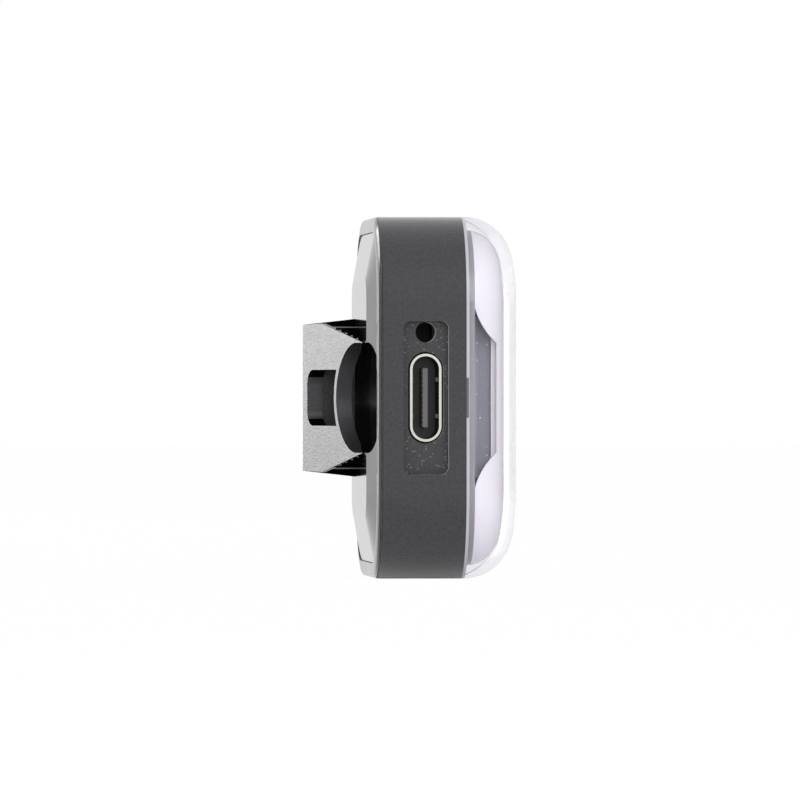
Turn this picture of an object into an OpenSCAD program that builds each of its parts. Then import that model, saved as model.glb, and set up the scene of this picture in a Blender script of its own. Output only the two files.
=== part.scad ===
// Compact bike rear light: domed lens, textured housing, charging port and sloped slide-on foot.
// Everything is modelled about the optical axis, with x = 0 at the rear seam of the housing
// and the lens towards +X. placed() then stands the light on its underside.

/* [Body] */
// Outside height and depth of the rounded square body
side = 37; // [35:0.5:42]
// Corner radius of the body, seen along the optical axis
corner_r = 8.75; // [7.5:0.25:10]
// Width of the housing band between its two seams
band_w = 8.6; // [8.6:0.1:10]
// Wall of the housing
wall = 1.8; // [1.6:0.1:2.2]
// Thickness of the bulkhead that carries both boards
bulkhead_t = 1; // [0.8:0.1:1.3]
// Height of the lip that locates the lens
lip_h = 0.95; // [0.7:0.05:1.2]
// Thickness of that lip
lip_t = 0.85; // [0.6:0.05:1]

/* [Lens] */
// Radius of the rounded lens edge
edge_r = 5; // [4.5:0.1:5.5]
// Radius of the gently crowned shoulder between the edge and the flat front
crown_r = 23; // [20:1:30]
// Angle at which the edge runs over into the crown
crown_angle = 12; // [10:1:14]
// Straight skirt of the lens at the seam
skirt = 0.3; // [0.1:0.05:0.5]
// Wall of the lens
lens_t = 1.3; // [1:0.1:1.5]
// Wall of the white diffuser
diffuser_t = 0.9; // [0.7:0.1:1.1]
// Half height of the side window where it is widest
window_wide = 9.2; // [8.5:0.1:9.6]
// Half height of the side window where it is narrowest
window_narrow = 5.6; // [5:0.1:6.5]
// Depth of the side window along the optical axis
window_h = 2.3; // [2:0.1:2.6]
// Radius of the window's four curved flanks
flank_r = 7; // [5:0.5:9]
// Radius of the holes in the diffuser's front, one over each front lamp
lamp_hole = 2.6; // [2.4:0.1:3]

/* [Rear] */
// Visible gap between the housing and the rear frame
rear_gap = 0.12; // [0.08:0.01:0.2]
// Width of the rear frame's visible rim
rim_w = 1.6; // [1.4:0.1:1.8]
// Rise of the rim above the seam
rim_h = 0.45; // [0.35:0.05:0.6]
// How deep the rear frame reaches into the housing
frame_depth = 1.5; // [1.4:0.1:1.6]
// Thickness of the floor of the rear frame
floor_t = 1.1; // [1:0.05:1.2]
// Height of the flat of the rear panel above the seam
panel_h = 1.2; // [1:0.1:1.5]
// Height of the bevel's outer edge above the seam
panel_edge = 0.3; // [0.2:0.05:0.4]
// Width of the bevel of the rear panel
bevel_w = 4.8; // [4:0.1:5.5]

/* [Foot] */
// Length of the foot along its slope's base
foot_l = 16.4; // [15.6:0.1:17]
// Slope that makes up for a leaning seatpost
foot_angle = 18; // [15:0.5:20]
// Distance from the port face to the low end of the foot
foot_start = 10.5; // [10:0.1:11]
// Half width of the sloped plate at its low end
plate_low = 5.6; // [5.4:0.05:5.65]
// Half width of the sloped plate where the taper ends
plate_wide = 7.7; // [7.4:0.1:8]
// Length of the taper
taper_l = 11.4; // [10.5:0.1:12]
// Half width of the base of the end wall
foot_base = 8.2; // [8:0.1:8.6]
// Thickness of the sloped plate
plate_t = 1.6; // [1.4:0.1:1.8]
// Thickness of the overhanging edges of the plate
edge_t = 0.45; // [0.35:0.05:0.6]
// Width of the mouth
mouth_w = 11.3; // [10.8:0.1:11.4]
// Radius of the mouth's closed end
mouth_r = 5.7; // [5.7:0.05:6.2]
// Distance from the low end to the closed end of the mouth
mouth_l = 7.4; // [7:0.1:7.6]
// Wall between the mouth and the slot
bridge_t = 0.6; // [0.5:0.05:0.8]
// Width of the slot beyond the mouth
slot_w = 5.8; // [5:0.1:6.4]
// Radius of the plate's two high corners
plate_r = 0.8; // [0.5:0.1:1.2]
// Thickness of the foot's end wall
end_t = 0.9; // [0.8:0.05:1.1]
// Thickness of the two webs beside the channel
web_t = 0.9; // [0.7:0.1:1.1]
// Number of ribs under each edge of the plate
ribs = 5; // [3:1:5]

/* [Port] */
// Distance of the port's centre line from the rear seam
port_x = 4.5; // [4.4:0.05:4.6]
// Height of the port recess
recess_l = 15.6; // [15:0.1:17]
// Width of the port recess
recess_w = 4.6; // [4.4:0.1:5]
// Depth of the port recess
recess_d = 0.9; // [0.7:0.05:1]
// Height of the socket shell
shell_l = 8.94; // [8.9:0.01:9]
// Width of the socket shell
shell_w = 3.2; // [3.15:0.01:3.26]
// Length of the socket shell
shell_d = 7.3; // [7:0.1:7.6]
// Wall of the socket shell
shell_t = 0.25; // [0.25:0.01:0.35]
// Thickness of the socket's tongue
tongue_t = 0.5; // [0.5:0.05:0.7]
// Radius of the stem hole for the port cover
stem_r = 1.05; // [0.9:0.05:1.1]
// Distance of the stem hole above the port's centre
stem_z = 6.65; // [6.4:0.05:6.7]
// Thickness of the housing behind the floor of the recess
pad_t = 2.2; // [1.8:0.1:2.4]

/* [Button] */
// Height of the power key
key_l = 11; // [9:0.5:12]
// Width of the power key
key_w = 4; // [3.6:0.1:4.2]
// How far the key stands proud of the housing
key_proud = 0.3; // [0.3:0.05:0.5]
// Travel of the key
key_travel = 0.3; // [0.2:0.05:0.3]
// Running gap round the key
key_gap = 0.12; // [0.08:0.01:0.15]

/* [Inside] */
// Thickness of the main board
board_t = 0.8; // [0.6:0.1:0.8]
// Thickness of the battery cell
cell_t = 3.8; // [3.5:0.1:3.9]
// Depth of the battery cell along Y
cell_d = 19.6; // [17:0.2:20]
// Height of the battery cell
cell_l = 26; // [22:0.5:27]
// Pitch of the front lamps
lamp_pitch = 9; // [8:0.25:9.5]
// Radius of the case screws' shanks
screw_r = 0.8; // [0.7:0.05:0.9]

/* [Hidden] */
$fn = 48;

slip = 0.05;                                  // clearance of pieces that locate one another
cut = 1;                                      // how far a cutting solid runs past a face
flat = side - 2 * corner_r;                   // straight stretch of the body's outline
half = side / 2;
inner = half - wall;                          // half width of the cavity

frame_out = half - wall / 2;                  // rebate that takes the rear frame
gasket_t = 0.3;
rebate_d = frame_depth + gasket_t;
seat_x = frame_depth - floor_t;               // floor of the rear frame's panel pocket
panel_half = half - rim_w;
pocket_d = 0.6;                               // pocket in the frame's floor, below the panel

bulk_front = band_w - 0.3;
bulk_rear = bulk_front - bulkhead_t;
board_front = bulk_rear - 0.4;
board_rear = board_front - board_t;
shell_axis = board_rear - shell_w / 2;        // the socket's shell lies on the board
cell_x = board_rear - tape_t() - cell_t;
lip_out = half - lens_t - 0.12;               // clears the lens where its edge starts to curve in
lip_in = lip_out - lip_t;
lip_top = band_w + lip_h;

lens_top = skirt + edge_r * cos(crown_angle) + crown_r * (1 - cos(crown_angle));
diffuser_in = lens_t + 0.15;                  // inset of the diffuser's outside from the lens's
optic_in = diffuser_in + diffuser_t;
diffuser_under = band_w + lens_top - optic_in;
led_seat = bulk_front + board_t;
optic_t = 1.1;
optic_top = diffuser_under - 0.6;
optic_half = half - edge_r + 0.4;
lenslet_r = 4;
led_half = lip_in - 0.2;

recess_floor = -half + recess_d;
pad_in = recess_floor + pad_t;                // inner face of the thickened wall round the port
shell_mouth = recess_floor - 0.05;
shell_back = shell_mouth + shell_d;
board_near = pad_in + 0.3;
board_far = inner - 1.7;
board_half = inner - 1.3;
link_y = inner - 7.7;

foot_y = -half + foot_start;
rise = tan(foot_angle);
mouth_cy = mouth_l - mouth_r;
slot_end = foot_l - end_t - 0.3;
channel = mouth_w / 2;
web_out = channel + web_t;
entry_y = -half + channel + 0.25;             // centre of the pocket's round near end
boss_r = 1.9;
case_at = inner - 3.5;
foot_screw_u = foot_l - end_t - 1.1;
foot_screw_z = web_out - 0.1;

key_face = half + key_proud;
flange_t = 0.6;
flange_out = inner - slip;
flange_in = flange_out - flange_t;
stem_end = flange_in - 0.5;
switch_front = stem_end - key_travel - 0.6;
switch_d = 2.4;

function tape_t() = 0.2;

module placed() translate([-band_w / 2, 0, half]) children();

// Extrudes a Y-Z outline from x0 to x1
module along_x(x0, x1) translate([x0, 0, 0]) rotate([90, 0, 90]) linear_extrude(x1 - x0) children();

// Extrudes an outline drawn as (-X, Z) from y0 to y1, for what sits in the port and key faces
module along_y(y0, y1, x = port_x)
  translate([x, y1, 0]) rotate([90, 0, 0]) linear_extrude(y1 - y0) children();

module rounded(w, h, r) {
  square([w - 2 * r, h], center = true);
  square([w, h - 2 * r], center = true);
  for (a = [-1, 1])
    for (b = [-1, 1])
      translate([a * (w / 2 - r), b * (h / 2 - r)]) circle(r);
}

// Rounded square plate with its outline inset from the body's
module slab(x0, x1, h) along_x(x0, x1) rounded(2 * h, 2 * h, corner_r - half + h);

module ring(x0, x1, outside, inside) {
  difference() {
    slab(x0, x1, outside);
    slab(x0 - cut, x1 + cut, inside);
  }
}

// Sweeps an edge profile (radius from the corner's centre, height) round the body's outline
module swept(x0, x1) {
  for (a = [-1, 1])
    for (b = [-1, 1])
      translate([0, a * flat / 2, b * flat / 2]) rotate([0, 90, 0]) rotate_extrude() children();
  for (turn = [0, 90])
    rotate([turn, 0, 0]) rotate([0, 0, -90]) linear_extrude(flat, center = true) {
      translate([-flat / 2, x0]) square([flat, x1 - x0]);
      for (m = [0, 1]) mirror([m, 0]) translate([flat / 2, 0]) children();
    }
}

// Edge of the lens: skirt, large edge radius and shallow crown, all moved inwards by inset
module dome_profile(inset, from) {
  centre_h = band_w + skirt;
  intersection() {
    translate([0, from]) square([corner_r - inset, 3 * edge_r]);
    union() {
      translate([0, from]) square([corner_r - inset, centre_h - from]);
      translate([corner_r - edge_r, centre_h]) circle(edge_r - inset);
      intersection() {
        translate([0, band_w + lens_top - crown_r]) circle(crown_r - inset, $fn = 96);
        translate([0, from])
          square([corner_r - edge_r + (edge_r - inset) * sin(crown_angle), 3 * edge_r]);
      }
    }
  }
}

module dome(inset, from) swept(from, band_w + lens_top - inset) dome_profile(inset, from);

module at_corners(d) for (a = [-1, 1]) for (b = [-1, 1]) translate([0, a * d, b * d]) children();

module pin(x0, x1, r) along_x(x0, x1) circle(r);

module capsule(l, w) {
  square([w, l - w], center = true);
  for (s = [-1, 1]) translate([0, s * (l - w) / 2]) circle(w / 2);
}

// Housing: band with bulkhead, lens lip, screw bosses, port recess and key opening
module housing() {
  color([0.2, 0.2, 0.22]) placed() difference() {
    union() {
      difference() {
        swept(0, band_w) polygon([[0, 0], [corner_r - 0.15, 0], [corner_r, 0.15],
                                  [corner_r, band_w], [0, band_w]]);
        slab(-cut, rebate_d, frame_out);
        slab(-cut, bulk_rear, inner);
        slab(bulk_front, band_w + cut, lip_in);
      }
      ring(band_w, lip_top, lip_out, lip_in);
      at_corners(case_at) pin(rebate_d, bulk_rear, boss_r);
      for (s = [-1, 1]) translate([0, 0, s * board_screw_z()]) pin(board_front, bulk_rear, 1.2);
      translate([rebate_d, -inner - 0.2, -recess_l / 2 - 0.4])
        cube([bulk_rear - rebate_d, pad_in + inner + 0.2, recess_l + 0.8]);
      translate([band_w, -half, -2]) cube([0.2, lens_t, 4]);
    }
    ring_groove();
    along_y(-half - cut, recess_floor) rounded(recess_w, recess_l, 0.8);
    along_y(recess_floor - cut, recess_floor + 0.6) capsule(shell_l + 0.4, shell_w + 0.4);
    along_y(recess_floor + 0.5, pad_in + cut) capsule(shell_l + 1.4, shell_w + 1.4);
    translate([0, 0, stem_z]) along_y(recess_floor - cut, pad_in + cut) circle(stem_r);
    along_y(inner - cut, half + cut) capsule(key_l + 2 * key_gap, key_w + 2 * key_gap);
    along_y(seal_y(), seal_y() + 0.6) capsule(key_l + 1.2, key_w + 1.2);
    translate([0, 0, pipe_z()]) along_y(inner - cut, half + cut) circle(pipe_r() + 0.02);
    at_corners(case_at) pin(rebate_d - cut, bulk_rear - 0.5, screw_r + 0.02);
    for (s = [-1, 1])
      translate([0, 0, s * board_screw_z()]) pin(board_front - cut, bulk_front - 0.3, 0.52);
    link_at() cube([bulkhead_t + 1, 2.1, 8.1], center = true);
  }
}

function board_screw_z() = cell_l / 2 + 1;
function seal_y() = half - 1.1;
function pipe_z() = key_l / 2 + 2.4;
function pipe_r() = 0.8;

module ring_groove() {
  difference() {
    slab(band_w - 0.5, band_w + 0.02, half - 0.4);
    slab(band_w - cut, band_w + cut, half - 1);
  }
}

module link_at() translate([(bulk_front + bulk_rear) / 2, link_y, 0]) children();

// Lens gasket in the groove under the lens skirt
module lens_gasket() color([0.15, 0.15, 0.15]) placed() ring(band_w - 0.48, band_w, half - 0.42, half - 0.98);

// Clear lens
module lens() {
  color([0.9, 0.92, 0.95, 0.5]) placed() difference() {
    dome(0, band_w);
    dome(lens_t, band_w - cut);
    translate([band_w - cut, -half - cut, -2.05]) cube([cut + 0.25, lens_t + cut + 0.1, 4.1]);
  }
}

// White diffuser: dome with a window in the near and far side and a hole over each front lamp
module diffuser() {
  color("white") placed() difference() {
    dome(diffuser_in, lip_top);
    dome(optic_in, lip_top - cut);
    at_lamps() pin(band_w, band_w + 3 * edge_r, lamp_hole);
    for (s = [-1, 1]) translate([0, s * half, 0]) window_cut();
  }
}

// Window outline in the X-Z plane: wide at its base, with curved flanks that close in on its top
module window_cut() {
  drop = window_wide - window_narrow;
  chord = sqrt(window_h * window_h + drop * drop);
  reach = sqrt(flank_r * flank_r - chord * chord / 4);
  rotate([90, 0, 0]) linear_extrude(8, center = true) {
    difference() {
      translate([lip_top - cut, -window_wide]) square([window_h + cut, 2 * window_wide]);
      for (s = [-1, 1])
        translate([lip_top + window_h / 2 + reach * drop / chord,
                   s * (window_wide - drop / 2 + reach * window_h / chord)])
          circle(flank_r, $fn = 96);
    }
  }
}

// Clear inner optic: plate on two frosted skirts, with a lenslet in each hole of the diffuser
module optic() {
  color([0.8, 0.85, 0.95, 0.6]) placed() {
    along_x(optic_top - optic_t, optic_top)
      rounded(2 * optic_half, 2 * optic_half, corner_r - edge_r + 0.3);
    for (s = [-1, 1])
      translate([led_seat, s * (optic_half - 0.5) - 0.5, -window_wide + 1])
        cube([optic_top - optic_t / 2 - led_seat, 1, 2 * window_wide - 2]);
    at_lamps() translate([optic_top - 0.3, 0, 0]) rotate([0, 90, 0]) rotate_extrude() lenslet_profile();
  }
}

module lenslet_profile() {
  intersection() {
    translate([0, diffuser_under + 0.95 - optic_top - lenslet_r]) circle(lenslet_r);
    square(lenslet_r);
  }
}

module at_lamps() {
  for (a = [-0.5, 0.5])
    for (b = [-1, 0, 1])
      translate([0, a * lamp_pitch, b * lamp_pitch]) children();
}

module at_side_lamps() for (a = [-1, 1]) for (b = [-3.5, 3.5]) translate([0, a * (optic_half - 1.9), b]) children();

// Lamp board on the front of the bulkhead
module led_board() {
  color([0.9, 0.9, 0.88]) placed() difference() {
    slab(bulk_front, led_seat, led_half);
    at_link_pins() pin(bulk_front - cut, led_seat + cut, 0.27);
  }
}

module at_link_pins() for (i = [-1.5:1:1.5]) translate([0, link_y, i * 2]) children();

module led_packages() {
  color([0.95, 0.95, 0.9]) placed() {
    at_lamps() translate([led_seat, -1.4, -1.75]) cube([0.7, 2.8, 3.5]);
    at_side_lamps() translate([led_seat, -0.8, -0.8]) cube([0.6, 1.6, 1.6]);
  }
}

module led_domes() {
  color([0.8, 0.1, 0.1]) placed() {
    at_lamps() pin(led_seat + 0.7, led_seat + 0.9, 1.1);
    at_side_lamps() pin(led_seat + 0.6, led_seat + 0.8, 0.6);
  }
}

module link_header() {
  color([0.1, 0.1, 0.1]) placed() difference() {
    translate([board_front, link_y - 1, -4]) cube([bulk_front - board_front, 2, 8]);
    at_link_pins() pin(board_front - cut, bulk_front + cut, 0.27);
  }
}

module link_pins() color([0.85, 0.7, 0.35]) placed() at_link_pins() pin(board_rear - 0.15, led_seat + 0.4, 0.25);

// Main board behind the bulkhead
module main_board() {
  color([0.1, 0.35, 0.2]) placed() difference() {
    translate([board_rear, board_near, -board_half])
      cube([board_t, board_far - board_near, 2 * board_half]);
    at_corners(case_at) pin(board_rear - cut, board_front + cut, boss_r + 0.4);
    at_corners(case_at + 2) pin(board_rear - cut, board_front + cut, boss_r + 0.9);
    for (s = [-1, 1])
      translate([0, 0, s * board_screw_z()]) pin(board_rear - cut, board_front + cut, 0.52);
    at_link_pins() pin(board_rear - cut, board_front + cut, 0.27);
  }
}

module board_screws() {
  color([0.7, 0.7, 0.7]) placed() for (s = [-1, 1]) translate([0, 0, s * board_screw_z()]) {
    pin(board_rear, bulk_front - 0.5, 0.5);
    pin(board_rear - 0.4, board_rear, 0.85);
  }
}

module board_chips() {
  color([0.12, 0.12, 0.13]) placed() {
    translate([board_rear - 0.7, board_near + 1.7, shell_l / 2 + 1.5]) cube([0.7, 3, 3]);
    translate([board_rear - 0.8, board_near + 1.7, -shell_l / 2 - 4.5]) cube([0.8, 3, 3]);
    for (i = [0:2]) translate([board_rear - 0.4, board_far - 2.8, 4.4 + i]) cube([0.4, 1, 0.5]);
  }
}

// Charging socket
module usb_shell() {
  color([0.85, 0.84, 0.8]) placed() difference() {
    along_y(shell_mouth, shell_back, shell_axis) capsule(shell_l, shell_w);
    along_y(shell_mouth - cut, shell_back - shell_t, shell_axis)
      capsule(shell_l - 2 * shell_t, shell_w - 2 * shell_t);
  }
}

module usb_tongue() {
  color([0.12, 0.12, 0.13]) placed() {
    along_y(shell_back - 2, shell_back - shell_t, shell_axis)
      capsule(shell_l - 2 * shell_t - 0.04, shell_w - 2 * shell_t - 0.04);
    along_y(shell_mouth + 0.9, shell_back - 1.9, shell_axis) square([tongue_t, 6], center = true);
  }
}

module usb_contacts() {
  color([0.85, 0.7, 0.35]) placed()
    for (s = [-1, 1])
      for (i = [-5.5:1:5.5])
        translate([shell_axis + s * (tongue_t / 2 + 0.025) - 0.025, shell_mouth + 1.8, i * 0.5 - 0.13])
          cube([0.05, 3, 0.26]);
}

module usb_springs() {
  color([0.8, 0.8, 0.78]) placed()
    for (s = [-1, 1]) translate([shell_axis, shell_mouth + 0.9, s * 1.85 - 0.2]) {
      translate([shell_w / 2 - shell_t - 0.3, 0, 0]) cube([0.3, 1.2, 0.4]);
      translate([-shell_w / 2 + shell_t, 0, 0]) cube([0.15, 1.2, 0.4]);
    }
}

module port_seal() {
  color([0.1, 0.1, 0.1]) placed() difference() {
    along_y(recess_floor + 0.6, pad_in) capsule(shell_l + 1.36, shell_w + 1.36);
    along_y(recess_floor, pad_in + cut, shell_axis) capsule(shell_l + 0.04, shell_w + 0.04);
  }
}

// Power key with its flange and stem
module power_button() {
  color([0.16, 0.16, 0.17]) placed() {
    along_y(flange_in, key_face) capsule(key_l, key_w);
    along_y(flange_in, flange_out) capsule(key_l + 1, key_w + 0.8);
    along_y(stem_end, flange_in + 0.1) circle(1.1);
  }
}

module button_seal() {
  color([0.1, 0.1, 0.1]) placed() difference() {
    along_y(seal_y() + 0.02, seal_y() + 0.58) capsule(key_l + 1.16, key_w + 1.16);
    along_y(seal_y() - cut, seal_y() + cut) capsule(key_l + 0.1, key_w + 0.1);
  }
}

module tact_switch() {
  color([0.75, 0.75, 0.75]) placed() difference() {
    translate([board_rear - 3, switch_front - switch_d, -2.2]) cube([3, switch_d, 4.4]);
    along_y(switch_front - key_travel - 1.1, switch_front + cut) circle(0.85);
  }
}

module switch_plunger() {
  color([0.2, 0.2, 0.2]) placed() along_y(switch_front - 0.9, stem_end - 0.02) circle(0.78);
}

module status_led() color([0.9, 0.95, 0.9]) placed()
  translate([board_rear - 1.1, board_far - 1.2, pipe_z() - 0.8]) cube([1.1, 1.2, 1.6]);

module light_pipe() {
  color([0.9, 0.9, 0.9, 0.7]) placed() translate([0, 0, pipe_z()]) {
    along_y(board_far + 0.05, half) circle(pipe_r());
    along_y(board_far + 0.05, inner - 0.02) circle(pipe_r() + 0.35);
  }
}

// Pouch cell between the rear frame and the main board
module battery() {
  color([0.75, 0.77, 0.8]) placed() along_x(cell_x, cell_x + cell_t)
    translate([cell_y(), 0]) rounded(cell_d, cell_l, 0.8);
}

function cell_y() = shell_back + 0.5 + cell_d / 2;

module battery_tape() color([0.9, 0.85, 0.6]) placed()
  translate([cell_x + cell_t, cell_y() - cell_d / 2 + 1.8, -cell_l / 2 + 5])
    cube([tape_t(), cell_d - 3.6, cell_l - 10]);

module battery_pad() color([0.25, 0.25, 0.27]) placed()
  translate([frame_depth, cell_y() - cell_d / 2 + 1.3, -cell_l / 2 + 2])
    cube([cell_x - frame_depth, cell_d - 2.6, cell_l - 4]);

module battery_leads() {
  for (i = [0, 1])
    color(i == 0 ? [0.7, 0.1, 0.1] : [0.08, 0.08, 0.08]) placed() translate([0, cell_y() - 6 + 3 * i, 0]) {
      translate([lead_x(), 0, cell_l / 2]) cylinder(r = 0.4, h = lead_rise());
      translate([lead_x(), 0, cell_l / 2 + lead_rise()]) sphere(0.4);
      translate([0, 0, cell_l / 2 + lead_rise()]) pin(lead_x(), board_rear, 0.4);
    }
}

function lead_x() = cell_x + cell_t / 2;
function lead_rise() = 1.2;

// Rear frame: rim over the housing's edge, wall in its rebate and floor under the panel
module rear_frame() {
  color([0.14, 0.14, 0.15]) placed() difference() {
    union() {
      swept(-rim_h, -rear_gap) polygon([[0, -rear_gap], [corner_r - 0.05, -rear_gap],
        [corner_r - 0.35, -0.3], [corner_r - 0.9, -0.4], [corner_r - rim_w, -rim_h], [0, -rim_h]]);
      slab(-rear_gap - 0.01, frame_depth, frame_out - slip);
    }
    slab(-rim_h - cut, seat_x, panel_half + slip);
    intersection() {
      head_pocket(seat_x - slip, seat_x + pocket_d);
      slab(seat_x - cut, seat_x + cut, panel_half - 0.3);
    }
    at_corners(case_at) {
      pin(seat_x - cut, frame_depth + cut, screw_r + 0.1);
      pin(seat_x - cut, seat_x + 0.6, 1.5);
    }
    at_foot_screws() {
      pin(seat_x - cut, frame_depth + cut, 0.65);
      pin(frame_depth - 0.5, frame_depth + cut, 1.1);
    }
  }
}

// Room for the head of the bracket's stud, open to the near edge of the panel
module head_pocket(x0, x1) {
  far_y = foot_y + slot_end - channel;
  along_x(x0, x1) {
    translate([entry_y, 0]) circle(channel);
    translate([entry_y, -channel]) square([far_y - entry_y, mouth_w]);
    translate([far_y, 0]) circle(channel);
  }
}

module at_foot_screws() for (s = [-1, 1]) translate([0, foot_y + foot_screw_u, s * foot_screw_z]) children();

module rear_gasket() color([0.1, 0.1, 0.1]) placed() ring(frame_depth, rebate_d, frame_out - slip, inner + 0.1);

module rear_panel() {
  panel_r = corner_r - rim_w;
  color([0.1, 0.1, 0.11]) placed() difference() {
    swept(-panel_h, seat_x) polygon([[0, seat_x], [panel_r, seat_x], [panel_r, -panel_edge],
      [panel_r - bevel_w, -panel_h], [0, -panel_h]]);
    head_pocket(-panel_h - cut, seat_x + cut);
    at_foot_screws() pin(-panel_h - cut, seat_x + cut, 0.65);
  }
}

// Everything below the sloped plane, lowered by drop
module wedge(drop) {
  y1 = foot_y + foot_l;
  translate([0, 0, -foot_base - cut]) linear_extrude(2 * (foot_base + cut))
    polygon([[-panel_h, foot_y + drop / rise], [-panel_h, y1 + 0.01],
             [-panel_h - foot_l * rise + drop, y1 + 0.01], [-panel_h - foot_l * rise + drop, y1]]);
}

module plate_outline() {
  wide_end = plate_wide - 0.1;
  along_x(-panel_h - foot_l * rise - cut, -panel_h) translate([foot_y, 0]) {
    polygon([[0, -plate_low], [taper_l, -plate_wide], [foot_l - plate_r, -wide_end],
             [foot_l, -wide_end + plate_r], [foot_l, wide_end - plate_r],
             [foot_l - plate_r, wide_end], [taper_l, plate_wide], [0, plate_low]]);
    for (s = [-1, 1]) translate([foot_l - plate_r, s * (wide_end - plate_r)]) circle(plate_r);
  }
}

// Mouth, open at the low end, and the slot beyond it; a curved wall stays between them
module mouth() {
  along_x(-panel_h - foot_l * rise - cut, cut) translate([foot_y, 0]) {
    translate([-cut, -channel]) square([mouth_cy + cut, mouth_w]);
    intersection() {
      translate([mouth_cy, 0]) circle(mouth_r);
      translate([0, -channel]) square([foot_l, mouth_w]);
    }
    difference() {
      union() {
        translate([mouth_cy, -slot_w / 2]) square([slot_end - mouth_cy - 1.5, slot_w]);
        translate([slot_end - 3, 0]) rounded(6, slot_w, 1.5);
      }
      translate([mouth_cy, 0]) circle(mouth_r + bridge_t);
    }
  }
}

// Sloped foot: plate with mouth and slot, webs beside the channel, end wall and edge ribs
module mount_foot() {
  color([0.18, 0.18, 0.19]) placed() difference() {
    union() {
      intersection() {
        plate_outline();
        difference() {
          wedge(0);
          wedge(edge_t);
        }
      }
      intersection() {
        plate_outline();
        difference() {
          wedge(0);
          wedge(plate_t);
        }
        translate([-20, foot_y, -web_out]) cube([20, foot_l, 2 * web_out]);
      }
      intersection() {
        plate_outline();
        wedge(0.1);
        for (s = [-1, 1])
          translate([-20, foot_y, s * (channel + web_t / 2) - web_t / 2]) cube([20, foot_l, web_t]);
      }
      end_wall();
      intersection() {
        wedge(0.1);
        at_foot_screws() pin(-20, -panel_h, 0.95);
      }
      edge_ribs();
    }
    mouth();
    at_foot_screws() pin(-panel_h - 2, -panel_h + cut, 0.52);
  }
}

module end_wall() {
  y0 = foot_y + foot_l - end_t;
  h = foot_l * rise;
  intersection() {
    wedge(0);
    translate([0, y0, 0]) rotate([-90, 0, 0]) linear_extrude(end_t)
      polygon([[-panel_h, foot_base], [-panel_h, -foot_base],
               [-panel_h - h, -plate_wide + 0.1], [-panel_h - h, plate_wide - 0.1]]);
  }
}

// Ribs under the tapered edges of the plate
module edge_ribs() {
  for (i = [0:ribs - 1])
    for (s = [-1, 1]) {
      u = 2 + i * 1.5;
      w = plate_low + (plate_wide - plate_low) * u / taper_l;
      intersection() {
        wedge(0.2);
        translate([-20, foot_y + u, s > 0 ? channel : -w - 0.15]) cube([20, 0.6, w + 0.15 - channel]);
      }
    }
}

module case_screws() {
  color([0.7, 0.7, 0.7]) placed() at_corners(case_at) {
    pin(seat_x + 0.6, bulk_rear - 0.6, screw_r);
    pin(seat_x + 0.05, seat_x + 0.6, 1.4);
  }
}

module foot_screws() {
  color([0.7, 0.7, 0.7]) placed() at_foot_screws() {
    pin(-panel_h - 1.9, frame_depth - 0.5, 0.5);
    pin(frame_depth - 0.5, frame_depth - 0.02, 1);
  }
}

housing();
rear_frame();
rear_panel();
mount_foot();
lens();
diffuser();
optic();
usb_shell();
usb_tongue();
usb_contacts();
usb_springs();
port_seal();
power_button();
button_seal();
tact_switch();
switch_plunger();
status_led();
light_pipe();
main_board();
board_chips();
board_screws();
led_board();
led_packages();
led_domes();
link_header();
link_pins();
battery();
battery_tape();
battery_pad();
battery_leads();
lens_gasket();
rear_gasket();
case_screws();
foot_screws();
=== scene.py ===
# Bike rear light: the looks of its housing, lens, rear panel, foot, port and key.
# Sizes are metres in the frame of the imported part; +X is the lens side and -Y the port side.
import math

import bpy
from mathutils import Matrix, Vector

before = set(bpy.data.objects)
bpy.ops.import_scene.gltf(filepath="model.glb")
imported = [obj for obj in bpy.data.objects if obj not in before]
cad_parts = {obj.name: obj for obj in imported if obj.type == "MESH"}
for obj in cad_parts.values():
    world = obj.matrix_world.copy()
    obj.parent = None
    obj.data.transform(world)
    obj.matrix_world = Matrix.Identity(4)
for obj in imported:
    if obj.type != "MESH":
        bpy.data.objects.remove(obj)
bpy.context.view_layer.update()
MM = 0.001

# Camera: level with the middle of the light and facing its port, turned a little
# towards the foot, so that deeper points lie further left in the picture.
VIEW_TURN = math.radians(3.8)
CAMERA_DISTANCE = 1.0
PIXELS_PER_MM = 9.86
PICTURE_WIDTH = 800
aim = Vector((-2.48, -18.5, 18.27)) * MM
view_direction = Vector((math.sin(VIEW_TURN), math.cos(VIEW_TURN), 0))
camera_data = bpy.data.cameras.new("camera")
camera = bpy.data.objects.new("camera", camera_data)
bpy.context.scene.collection.objects.link(camera)
camera.location = aim - view_direction * CAMERA_DISTANCE
camera.rotation_euler = view_direction.to_track_quat("-Z", "Y").to_euler()
camera_data.sensor_width = 36
camera_data.lens = PIXELS_PER_MM * CAMERA_DISTANCE / MM * camera_data.sensor_width / PICTURE_WIDTH
camera_data.clip_start = 0.01
camera_data.clip_end = 20
bpy.context.scene.camera = camera


# Housing: moulded in dark ABS with a fine spark texture on its outside and a coarser
# one on the floor of the port recess. Through the clear lens its lip shows a lighter grey, which is painted
# reflection.
# Face rules are in millimetres; AXIS_HEIGHT is the optical axis above the underside.
AXIS_HEIGHT = 18.5
RECESS_FLOOR = (-17.8, -17.4)
RECESS_REACH = 9
LIP_SPAN = (4.4, 5.4)
SEAM_X = 4.31
OUTER_SKIN_Y = -18.3


def add_node(tree, kind, **values):
    made = tree.nodes.new(kind)
    for key, value in values.items():
        if hasattr(made, key):
            setattr(made, key, value)
        else:
            made.inputs[key.replace("_", " ")].default_value = value
    return made


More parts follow.
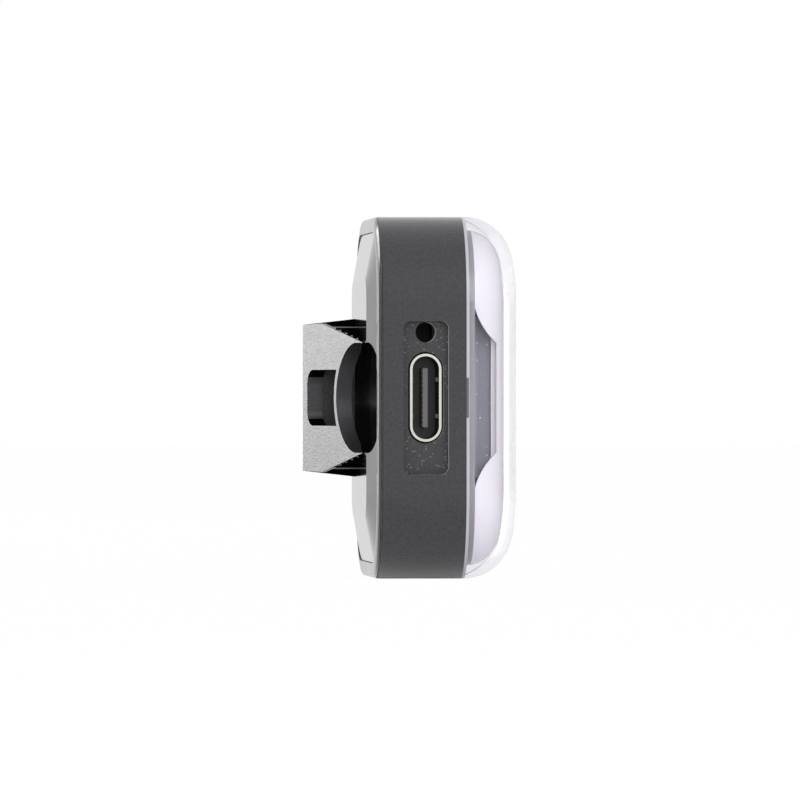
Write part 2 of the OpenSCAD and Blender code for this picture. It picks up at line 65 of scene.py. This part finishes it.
def new_group(name, inputs, outputs):
    group = bpy.data.node_groups.new(name, "ShaderNodeTree")
    for label, kind, value in inputs:
        socket = group.interface.new_socket(label, in_out="INPUT", socket_type=kind)
        socket.default_value = value
    for label, kind in outputs:
        group.interface.new_socket(label, in_out="OUTPUT", socket_type=kind)
    return group, group.nodes.new("NodeGroupInput"), group.nodes.new("NodeGroupOutput")


def make_spark_grain():
    group, given, result = new_group(
        "spark grain",
        [("Size", "NodeSocketFloat", 4000), ("Fine", "NodeSocketFloat", 0.5)],
        [("Height", "NodeSocketFloat"), ("Speck", "NodeSocketFloat")],
    )
    place = add_node(group, "ShaderNodeTexCoord")
    coarse = add_node(group, "ShaderNodeTexNoise", Detail=6.0, Roughness=0.65)
    pits = add_node(group, "ShaderNodeTexVoronoi", feature="SMOOTH_F1")
    blend = add_node(group, "ShaderNodeMix", data_type="FLOAT")
    link = group.links.new
    link(place.outputs["Object"], coarse.inputs["Vector"])
    link(place.outputs["Object"], pits.inputs["Vector"])
    link(given.outputs["Size"], coarse.inputs["Scale"])
    link(given.outputs["Size"], pits.inputs["Scale"])
    link(given.outputs["Fine"], blend.inputs["Factor"])
    link(pits.outputs["Distance"], blend.inputs["A"])
    link(coarse.outputs["Fac"], blend.inputs["B"])
    link(blend.outputs["Result"], result.inputs["Height"])
    link(coarse.outputs["Fac"], result.inputs["Speck"])
    return group


def make_soft_mottle():
    group, given, result = new_group(
        "soft mottle",
        [("Size", "NodeSocketFloat", 300), ("Base", "NodeSocketColor", (0.1, 0.1, 0.1, 1)),
         ("Worn", "NodeSocketColor", (0.2, 0.2, 0.2, 1)), ("Amount", "NodeSocketFloat", 0.5),
         ("Rough", "NodeSocketFloat", 0.5), ("Rough Spread", "NodeSocketFloat", 0.1)],
        [("Color", "NodeSocketColor"), ("Roughness", "NodeSocketFloat")],
    )
    place = add_node(group, "ShaderNodeTexCoord")
    clouds = add_node(group, "ShaderNodeTexNoise", Detail=5.0, Roughness=0.6)
    share = add_node(group, "ShaderNodeMath", operation="MULTIPLY")
    tint = add_node(group, "ShaderNodeMix", data_type="RGBA")
    spread = add_node(group, "ShaderNodeMath", operation="MULTIPLY_ADD")
    link = group.links.new
    link(place.outputs["Object"], clouds.inputs["Vector"])
    link(given.outputs["Size"], clouds.inputs["Scale"])
    link(clouds.outputs["Fac"], share.inputs[0])
    link(given.outputs["Amount"], share.inputs[1])
    link(share.outputs[0], tint.inputs["Factor"])
    link(given.outputs["Base"], tint.inputs["A"])
    link(given.outputs["Worn"], tint.inputs["B"])
    link(clouds.outputs["Fac"], spread.inputs[0])
    link(given.outputs["Rough Spread"], spread.inputs[1])
    link(given.outputs["Rough"], spread.inputs[2])
    link(tint.outputs["Result"], result.inputs["Color"])
    link(spread.outputs[0], result.inputs["Roughness"])
    return group


def make_stray_dust():
    group, given, result = new_group(
        "stray dust",
        [("Size", "NodeSocketFloat", 400), ("Reach", "NodeSocketFloat", 0.06),
         ("Share", "NodeSocketFloat", 0.03)],
        [("Mask", "NodeSocketFloat")],
    )
    place = add_node(group, "ShaderNodeTexCoord")
    cells = add_node(group, "ShaderNodeTexVoronoi", feature="F1")
    pick = add_node(group, "ShaderNodeSeparateColor")
    near = add_node(group, "ShaderNodeMath", operation="LESS_THAN")
    rare = add_node(group, "ShaderNodeMath", operation="LESS_THAN")
    both = add_node(group, "ShaderNodeMath", operation="MULTIPLY")
    link = group.links.new
    link(place.outputs["Object"], cells.inputs["Vector"])
    link(given.outputs["Size"], cells.inputs["Scale"])
    link(cells.outputs["Distance"], near.inputs[0])
    link(given.outputs["Reach"], near.inputs[1])
    link(cells.outputs["Color"], pick.inputs["Color"])
    link(pick.outputs["Red"], rare.inputs[0])
    link(given.outputs["Share"], rare.inputs[1])
    link(near.outputs[0], both.inputs[0])
    link(rare.outputs[0], both.inputs[1])
    link(both.outputs[0], result.inputs["Mask"])
    return group


SPARK_GRAIN = make_spark_grain()
SOFT_MOTTLE = make_soft_mottle()
STRAY_DUST = make_stray_dust()


def linear(red, green, blue):
    def channel(value):
        share = value / 255
        return share / 12.92 if share <= 0.04045 else ((share + 0.055) / 1.055) ** 2.4
    return (channel(red), channel(green), channel(blue), 1)


def finish_of(name, colour, worn, rough=0.5, rough_spread=0.1, mottle=300, amount=0.5,
              grain=0.0, grain_size=4000, fine=0.5, **shader_values):
    material = bpy.data.materials.new(name)
    material.use_nodes = True
    tree = material.node_tree
    shader = tree.nodes["Principled BSDF"]
    for key, value in shader_values.items():
        shader.inputs[key.replace("_", " ")].default_value = value
    surface = tree.nodes.new("ShaderNodeGroup")
    surface.node_tree = SOFT_MOTTLE
    surface.inputs["Size"].default_value = mottle
    surface.inputs["Base"].default_value = colour
    surface.inputs["Worn"].default_value = worn
    surface.inputs["Amount"].default_value = amount
    surface.inputs["Rough"].default_value = rough - rough_spread / 2
    surface.inputs["Rough Spread"].default_value = rough_spread
    tree.links.new(surface.outputs["Color"], shader.inputs["Base Color"])
    tree.links.new(surface.outputs["Roughness"], shader.inputs["Roughness"])
    if grain:
        sparks = tree.nodes.new("ShaderNodeGroup")
        sparks.node_tree = SPARK_GRAIN
        sparks.inputs["Size"].default_value = grain_size
        sparks.inputs["Fine"].default_value = fine
        bump = add_node(tree, "ShaderNodeBump", Strength=grain, Distance=0.05 * MM)
        tree.links.new(sparks.outputs["Height"], bump.inputs["Height"])
        tree.links.new(bump.outputs["Normal"], shader.inputs["Normal"])
    return material


def add_dust(material, colour, size, reach, share):
    tree = material.node_tree
    shader = tree.nodes["Principled BSDF"]
    below = shader.inputs["Base Color"].links[0].from_socket
    dust = tree.nodes.new("ShaderNodeGroup")
    dust.node_tree = STRAY_DUST
    dust.inputs["Size"].default_value = size
    dust.inputs["Reach"].default_value = reach
    dust.inputs["Share"].default_value = share
    over = add_node(tree, "ShaderNodeMix", data_type="RGBA")
    over.inputs["B"].default_value = colour
    tree.links.new(dust.outputs["Mask"], over.inputs["Factor"])
    tree.links.new(below, over.inputs["A"])
    tree.links.new(over.outputs["Result"], shader.inputs["Base Color"])


def dress(node, material):
    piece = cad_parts[node]
    if not piece.material_slots:
        piece.data.materials.append(material)
    for socket in piece.material_slots:
        socket.material = material


def dress_faces(node, material, belongs):
    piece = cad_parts[node]
    piece.data.materials.append(material)
    for face in piece.data.polygons:
        if belongs(face.center / MM, face.normal):
            face.material_index = len(piece.data.materials) - 1


housing_plastic = finish_of("housing plastic", linear(4, 4, 8), linear(72, 71, 77), rough=0.55,
                            grain=0.6, grain_size=3600, mottle=3400, amount=1.0,
                            Sheen_Weight=0.85, Sheen_Roughness=0.38)
add_dust(housing_plastic, linear(196, 196, 198), 330, 0.045, 0.05)
dress("housing", housing_plastic)
recess_plastic = finish_of("recess plastic", linear(4, 4, 6), linear(84, 83, 87), rough=0.6,
                           grain=1.0, grain_size=3400, mottle=4200, amount=1.0)
add_dust(recess_plastic, linear(126, 123, 119), 4600, 0.34, 0.2)
dress_faces("housing", recess_plastic, lambda centre, normal: (
    RECESS_FLOOR[0] < centre.y < RECESS_FLOOR[1] and normal.y < -0.9
    and abs(centre.z - AXIS_HEIGHT) < RECESS_REACH))
# Painted reflection: a lighter grey on the lip faces seen through the lens.
lip_painted_reflection = finish_of("lip painted reflection", linear(150, 149, 157), linear(172, 171, 178), rough=0.4, mottle=500)
dress_faces("housing", lip_painted_reflection, lambda centre, normal: (
    LIP_SPAN[0] < centre.x < LIP_SPAN[1] and centre.y > OUTER_SKIN_Y))
# Painted light: a lighter grey on the housing's tab faces past the seam on the port side.
tab_painted_light = finish_of("tab painted light", linear(98, 97, 106), linear(120, 119, 128), rough=0.45, mottle=900)
dress_faces("housing", tab_painted_light, lambda centre, normal: (
    centre.x > SEAM_X and centre.y < OUTER_SKIN_Y))

# Rear frame: satin black ABS rim round the rear panel, screwed into the housing's bosses.
frame_plastic = finish_of("frame plastic", linear(40, 40, 43), linear(52, 52, 55), rough=0.16,
                          grain=0.08, grain_size=6000)
dress("rear_frame", frame_plastic)

# Rear panel: polished black moulding with a shallow bevel, glued into the rear frame.
panel_plastic = finish_of("panel plastic", linear(26, 26, 28), linear(34, 34, 36), rough=0.09,
                          rough_spread=0.05, grain=0.02, grain_size=1500, fine=0.9)
dress("rear_panel", panel_plastic)

# Foot: glass-filled nylon moulding with a fine grain, held by two screws from inside.
# It is one moulding in one colour. Its undercut and channel are darkened by face here,
# as the photograph shows them in deep shadow.
PLATE_HALF = 5.75
FLANK_HALF = 6.7
CHANNEL_HALF = 5.7
CHANNEL_START_Y = -0.4
UNDERCUT_END_Y = 7.6
SLOT_END_Y = 7
SLOT_HALF = 4
foot_plastic = finish_of("foot plastic", linear(48, 48, 52), linear(62, 62, 66), rough=0.34,
                         grain=0.48, grain_size=4600, mottle=700)
dress("mount_foot", foot_plastic)
# Painted shade: near black and without gloss, on the foot's undercut and channel faces.
undercut_painted_shade = finish_of("undercut painted shade", linear(9, 9, 10), linear(15, 15, 16), rough=0.9,
                             grain=0.2, grain_size=4600, Specular_IOR_Level=0.0)


def gets_painted_shade(centre, normal):
    from_middle = abs(centre.z - AXIS_HEIGHT)
    outer_edge = abs(normal.z) > 0.8 and from_middle > FLANK_HALF
    sloped_face = normal.x < -0.9 and normal.y < -0.2
    slot_end = normal.y < -0.8 and centre.y > SLOT_END_Y and from_middle < SLOT_HALF
    beside_plate = from_middle > PLATE_HALF and not outer_edge
    under_plate = centre.y > CHANNEL_START_Y and from_middle < CHANNEL_HALF
    shaded = beside_plate or under_plate
    return centre.y < UNDERCUT_END_Y and not sloped_face and not slot_end and shaded


dress_faces("mount_foot", undercut_painted_shade, gets_painted_shade)

# Seals and gaskets: black silicone rings in the port, round the key, under the lens and
# behind the rear frame.
silicone = finish_of("black silicone", linear(30, 30, 31), linear(42, 42, 43), rough=0.7, mottle=900)
for seal in ("port_seal", "button_seal", "lens_gasket", "rear_gasket"):
    dress(seal, silicone)

# Charging socket: drawn steel shell with a bright plating, black insulator and tongue,
# gold-plated contacts and two steel latch springs.
plating = finish_of("bright plating", linear(206, 203, 196), linear(176, 172, 164), rough=0.2,
                    rough_spread=0.12, mottle=1500, Metallic=1.0)
dress("usb_shell", plating)
# Painted shade: a darker plating on the shell deeper than the recess floor and on the latch springs.
plating_painted_shade = finish_of("plating painted shade", linear(96, 95, 92), linear(74, 73, 70), rough=0.45,
                         mottle=1500, Metallic=1.0)
dress_faces("usb_shell", plating_painted_shade, lambda centre, normal: centre.y > -17.4)
dress("usb_springs", plating_painted_shade)
insulator = finish_of("socket insulator", linear(34, 34, 36), linear(52, 52, 55), rough=0.35, mottle=1200)
dress("usb_tongue", insulator)
# Painted light: the front of the tongue gets a lighter grey than its deeper part.
tongue_painted_light = finish_of("tongue painted light", linear(96, 95, 100), linear(118, 117, 122), rough=0.3,
                           mottle=1200)
dress_faces("usb_tongue", tongue_painted_light, lambda centre, normal: centre.y < -13)
gold = finish_of("gold plating", linear(150, 124, 78), linear(130, 104, 62), rough=0.35, Metallic=1.0)
dress("usb_contacts", gold)
dress("link_pins", gold)

# Key: textured cap over the switch on the side away from the port.
key_plastic = finish_of("key plastic", linear(52, 52, 56), linear(66, 66, 70), rough=0.5,
                        grain=0.25, grain_size=4200)
dress("power_button", key_plastic)
dress("switch_plunger", insulator)

# Boards, chips, lamps and cell: soldered boards on both sides of the bulkhead.
board_mask = finish_of("board mask", linear(28, 92, 58), linear(40, 110, 70), rough=0.3)
dress("main_board", board_mask)
lamp_board = finish_of("lamp board mask", linear(232, 232, 228), linear(220, 220, 214), rough=0.35)
dress("led_board", lamp_board)
chip_case = finish_of("chip case", linear(38, 38, 40), linear(52, 52, 54), rough=0.5, grain=0.1)
dress("board_chips", chip_case)
dress("link_header", chip_case)
lamp_case = finish_of("lamp case", linear(236, 234, 224), linear(224, 220, 204), rough=0.4)
dress("led_packages", lamp_case)
dress("status_led", lamp_case)
red_silicone = finish_of("red silicone", linear(196, 26, 24), linear(168, 18, 18), rough=0.2)
dress("led_domes", red_silicone)
switch_steel = finish_of("switch steel", linear(196, 196, 194), linear(168, 168, 166), rough=0.35,
                         Metallic=1.0)
for steel_piece in ("tact_switch", "board_screws", "case_screws", "foot_screws"):
    dress(steel_piece, switch_steel)
foil = finish_of("cell foil", linear(198, 199, 203), linear(176, 177, 182), rough=0.38, Metallic=1.0)
dress("battery", foil)
end_wrap = finish_of("cell end wrap", linear(14, 14, 15), linear(20, 20, 21), rough=0.5)
dress_faces("battery", end_wrap, lambda centre, normal: normal.y < -0.3)
dress("battery_tape", finish_of("amber tape", linear(206, 168, 84), linear(190, 150, 70), rough=0.4))
dress("battery_pad", finish_of("dark foam", linear(52, 52, 55), linear(66, 66, 70), rough=0.9, grain=0.6))
dress("battery_leads", finish_of("lead sleeve", linear(170, 28, 26), linear(140, 20, 20), rough=0.5))

# Diffuser: white polycarbonate insert with a window in the near and the far side.
diffuser_plastic = finish_of("diffuser plastic", linear(242, 239, 244), linear(234, 231, 236),
                             rough=0.45, grain=0.05, Subsurface_Weight=0.2, Subsurface_Scale=0.4 * MM)
dress("diffuser", diffuser_plastic)

# Optic: clear polycarbonate, frosted on its sides, in front of the lamps.
optic_clear = finish_of("clear optic", linear(246, 247, 252), linear(236, 238, 246), rough=0.08,
                        rough_spread=0.04, grain=0.04, grain_size=3000, Transmission_Weight=0.95, IOR=1.58)
dress("optic", optic_clear)
dress("light_pipe", optic_clear)


def make_cross_band():
    group, given, result = new_group(
        "cross band",
        [("Start", "NodeSocketFloat", 0), ("Stop", "NodeSocketFloat", 1)],
        [("Mask", "NodeSocketFloat")],
    )
    place = add_node(group, "ShaderNodeTexCoord")
    axes = add_node(group, "ShaderNodeSeparateXYZ")
    ramp = add_node(group, "ShaderNodeMapRange", interpolation_type="SMOOTHSTEP")
    link = group.links.new
    link(place.outputs["Object"], axes.inputs["Vector"])
    link(axes.outputs["X"], ramp.inputs["Value"])
    link(given.outputs["Start"], ramp.inputs["From Min"])
    link(given.outputs["Stop"], ramp.inputs["From Max"])
    link(ramp.outputs["Result"], result.inputs["Mask"])
    return group


CROSS_BAND = make_cross_band()


def add_band(material, colour, start, stop):
    tree = material.node_tree
    shader = tree.nodes["Principled BSDF"]
    below = shader.inputs["Base Color"].links[0].from_socket
    band = tree.nodes.new("ShaderNodeGroup")
    band.node_tree = CROSS_BAND
    band.inputs["Start"].default_value = start * MM
    band.inputs["Stop"].default_value = stop * MM
    over = add_node(tree, "ShaderNodeMix", data_type="RGBA")
    over.inputs["B"].default_value = colour
    tree.links.new(band.outputs["Mask"], over.inputs["Factor"])
    tree.links.new(below, over.inputs["A"])
    tree.links.new(over.outputs["Result"], shader.inputs["Base Color"])


frosted_side = finish_of("frosted side", linear(118, 121, 132), linear(146, 149, 160), rough=0.5,
                         grain=0.3, grain_size=3000, mottle=2600, amount=0.9)
# Painted reflection: below 5.7 mm the sides take the lip's lighter grey. From 7.3 mm to 8.2 mm they turn
# lighter towards the front.
add_band(frosted_side, linear(150, 149, 157), 5.76, 5.7)
add_band(frosted_side, linear(206, 209, 216), 7.3, 8.2)
add_dust(frosted_side, linear(210, 212, 220), 3000, 0.26, 0.14)
dress_faces("optic", frosted_side, lambda centre, normal: abs(normal.x) < 0.6)

# Lens: clear polycarbonate shell, polished outside and joined to the housing at its skirt.
# Its index is far below the real 1.58, so that the insert shows up to the rim as in the
# photograph. Lamp light reaches the diffuser through it.
SKIRT_END_X = 4.61


def lets_lamps_through(material):
    tree = material.node_tree
    clear = tree.nodes.new("ShaderNodeBsdfTransparent")
    path = tree.nodes.new("ShaderNodeLightPath")
    mix = tree.nodes.new("ShaderNodeMixShader")
    link = tree.links.new
    link(path.outputs["Is Shadow Ray"], mix.inputs["Fac"])
    link(tree.nodes["Principled BSDF"].outputs[0], mix.inputs[1])
    link(clear.outputs[0], mix.inputs[2])
    link(mix.outputs[0], tree.nodes["Material Output"].inputs["Surface"])


def paint_outline_shade(material, colour, blend):
    tree = material.node_tree
    shader = tree.nodes["Principled BSDF"]
    below = shader.inputs["Base Color"].links[0].from_socket
    slope = add_node(tree, "ShaderNodeLayerWeight", Blend=blend)
    mix = add_node(tree, "ShaderNodeMix", data_type="RGBA")
    mix.inputs["B"].default_value = colour
    tree.links.new(slope.outputs["Facing"], mix.inputs["Factor"])
    tree.links.new(below, mix.inputs["A"])
    tree.links.new(mix.outputs["Result"], shader.inputs["Base Color"])


lens_clear = finish_of("clear lens", linear(251, 250, 253), linear(249, 248, 251), rough=0.02,
                       rough_spread=0.02, Transmission_Weight=1.0, IOR=1.003, Coat_Weight=0.5, Coat_IOR=1.5)
# Painted shade: the lens colour turns darker grey where it is seen edge-on.
paint_outline_shade(lens_clear, linear(176, 173, 185), 0.18)
lets_lamps_through(lens_clear)
dress("lens", lens_clear)
# Painted highlight: a near-white band on the side faces of the lens skirt at the seam.
rim_painted_highlight = finish_of("rim painted highlight", linear(204, 203, 211), linear(188, 187, 195), rough=0.3, mottle=900)
dress_faces("lens", rim_painted_highlight, lambda centre, normal: centre.x < SKIRT_END_X and abs(normal.x) < 0.5)

# Studio: white floor and surroundings with soft lamps on both sides of the light. Camera,
# glossy and transmission rays see them white, without more light on the object.
def seen_rays(tree):
    path = tree.nodes.new("ShaderNodeLightPath")
    most = add_node(tree, "ShaderNodeMath", operation="MAXIMUM")
    most_of_all = add_node(tree, "ShaderNodeMath", operation="MAXIMUM")
    tree.links.new(path.outputs["Is Camera Ray"], most.inputs[0])
    tree.links.new(path.outputs["Is Glossy Ray"], most.inputs[1])
    tree.links.new(most.outputs[0], most_of_all.inputs[0])
    tree.links.new(path.outputs["Is Transmission Ray"], most_of_all.inputs[1])
    return most_of_all.outputs[0]


def white_room():
    world = bpy.data.worlds.new("white room")
    world.use_nodes = True
    tree = world.node_tree
    backdrop = tree.nodes["Background"]
    backdrop.inputs["Color"].default_value = (1, 1, 1, 1)
    backdrop.inputs["Strength"].default_value = 0.75
    seen = add_node(tree, "ShaderNodeBackground", Strength=1.0)
    seen.inputs["Color"].default_value = (1, 1, 1, 1)
    mix = tree.nodes.new("ShaderNodeMixShader")
    link = tree.links.new
    link(seen_rays(tree), mix.inputs["Fac"])
    link(backdrop.outputs[0], mix.inputs[1])
    link(seen.outputs[0], mix.inputs[2])
    link(mix.outputs[0], tree.nodes["World Output"].inputs["Surface"])
    bpy.context.scene.world = world


def white_floor():
    floor_mesh = bpy.data.meshes.new("floor")
    reach = 3
    floor_mesh.from_pydata([(-reach, -reach, 0), (reach, -reach, 0), (reach, reach, 0), (-reach, reach, 0)],
                           [], [(0, 1, 2, 3)])
    floor = bpy.data.objects.new("floor", floor_mesh)
    bpy.context.scene.collection.objects.link(floor)
    material = bpy.data.materials.new("pale floor")
    material.use_nodes = True
    tree = material.node_tree
    shader = tree.nodes["Principled BSDF"]
    shader.inputs["Base Color"].default_value = (0.9, 0.9, 0.9, 1)
    shader.inputs["Roughness"].default_value = 0.9
    glow = add_node(tree, "ShaderNodeEmission", Strength=1.0)
    share = add_node(tree, "ShaderNodeMath", operation="MULTIPLY")
    share.inputs[1].default_value = 0.97
    mix = tree.nodes.new("ShaderNodeMixShader")
    link = tree.links.new
    link(seen_rays(tree), share.inputs[0])
    link(share.outputs[0], mix.inputs["Fac"])
    link(shader.outputs[0], mix.inputs[1])
    link(glow.outputs[0], mix.inputs[2])
    link(mix.outputs[0], tree.nodes["Material Output"].inputs["Surface"])
    floor_mesh.materials.append(material)


def soft_lamp(name, place, size, watts):
    lamp_data = bpy.data.lights.new(name, "AREA")
    lamp_data.shape = "RECTANGLE"
    lamp_data.size = size
    lamp_data.size_y = size
    lamp_data.energy = watts
    lamp = bpy.data.objects.new(name, lamp_data)
    bpy.context.scene.collection.objects.link(lamp)
    lamp.location = place
    lamp.rotation_euler = (aim - Vector(place)).to_track_quat("-Z", "Y").to_euler()


white_room()
white_floor()
soft_lamp("left lamp", (-0.46, 0.5, 0.1), 0.34, 2.0)
soft_lamp("front lamp", (0.1, -0.7, 0.3), 0.5, 1.2)
bpy.context.scene.view_settings.view_transform = "Standard"
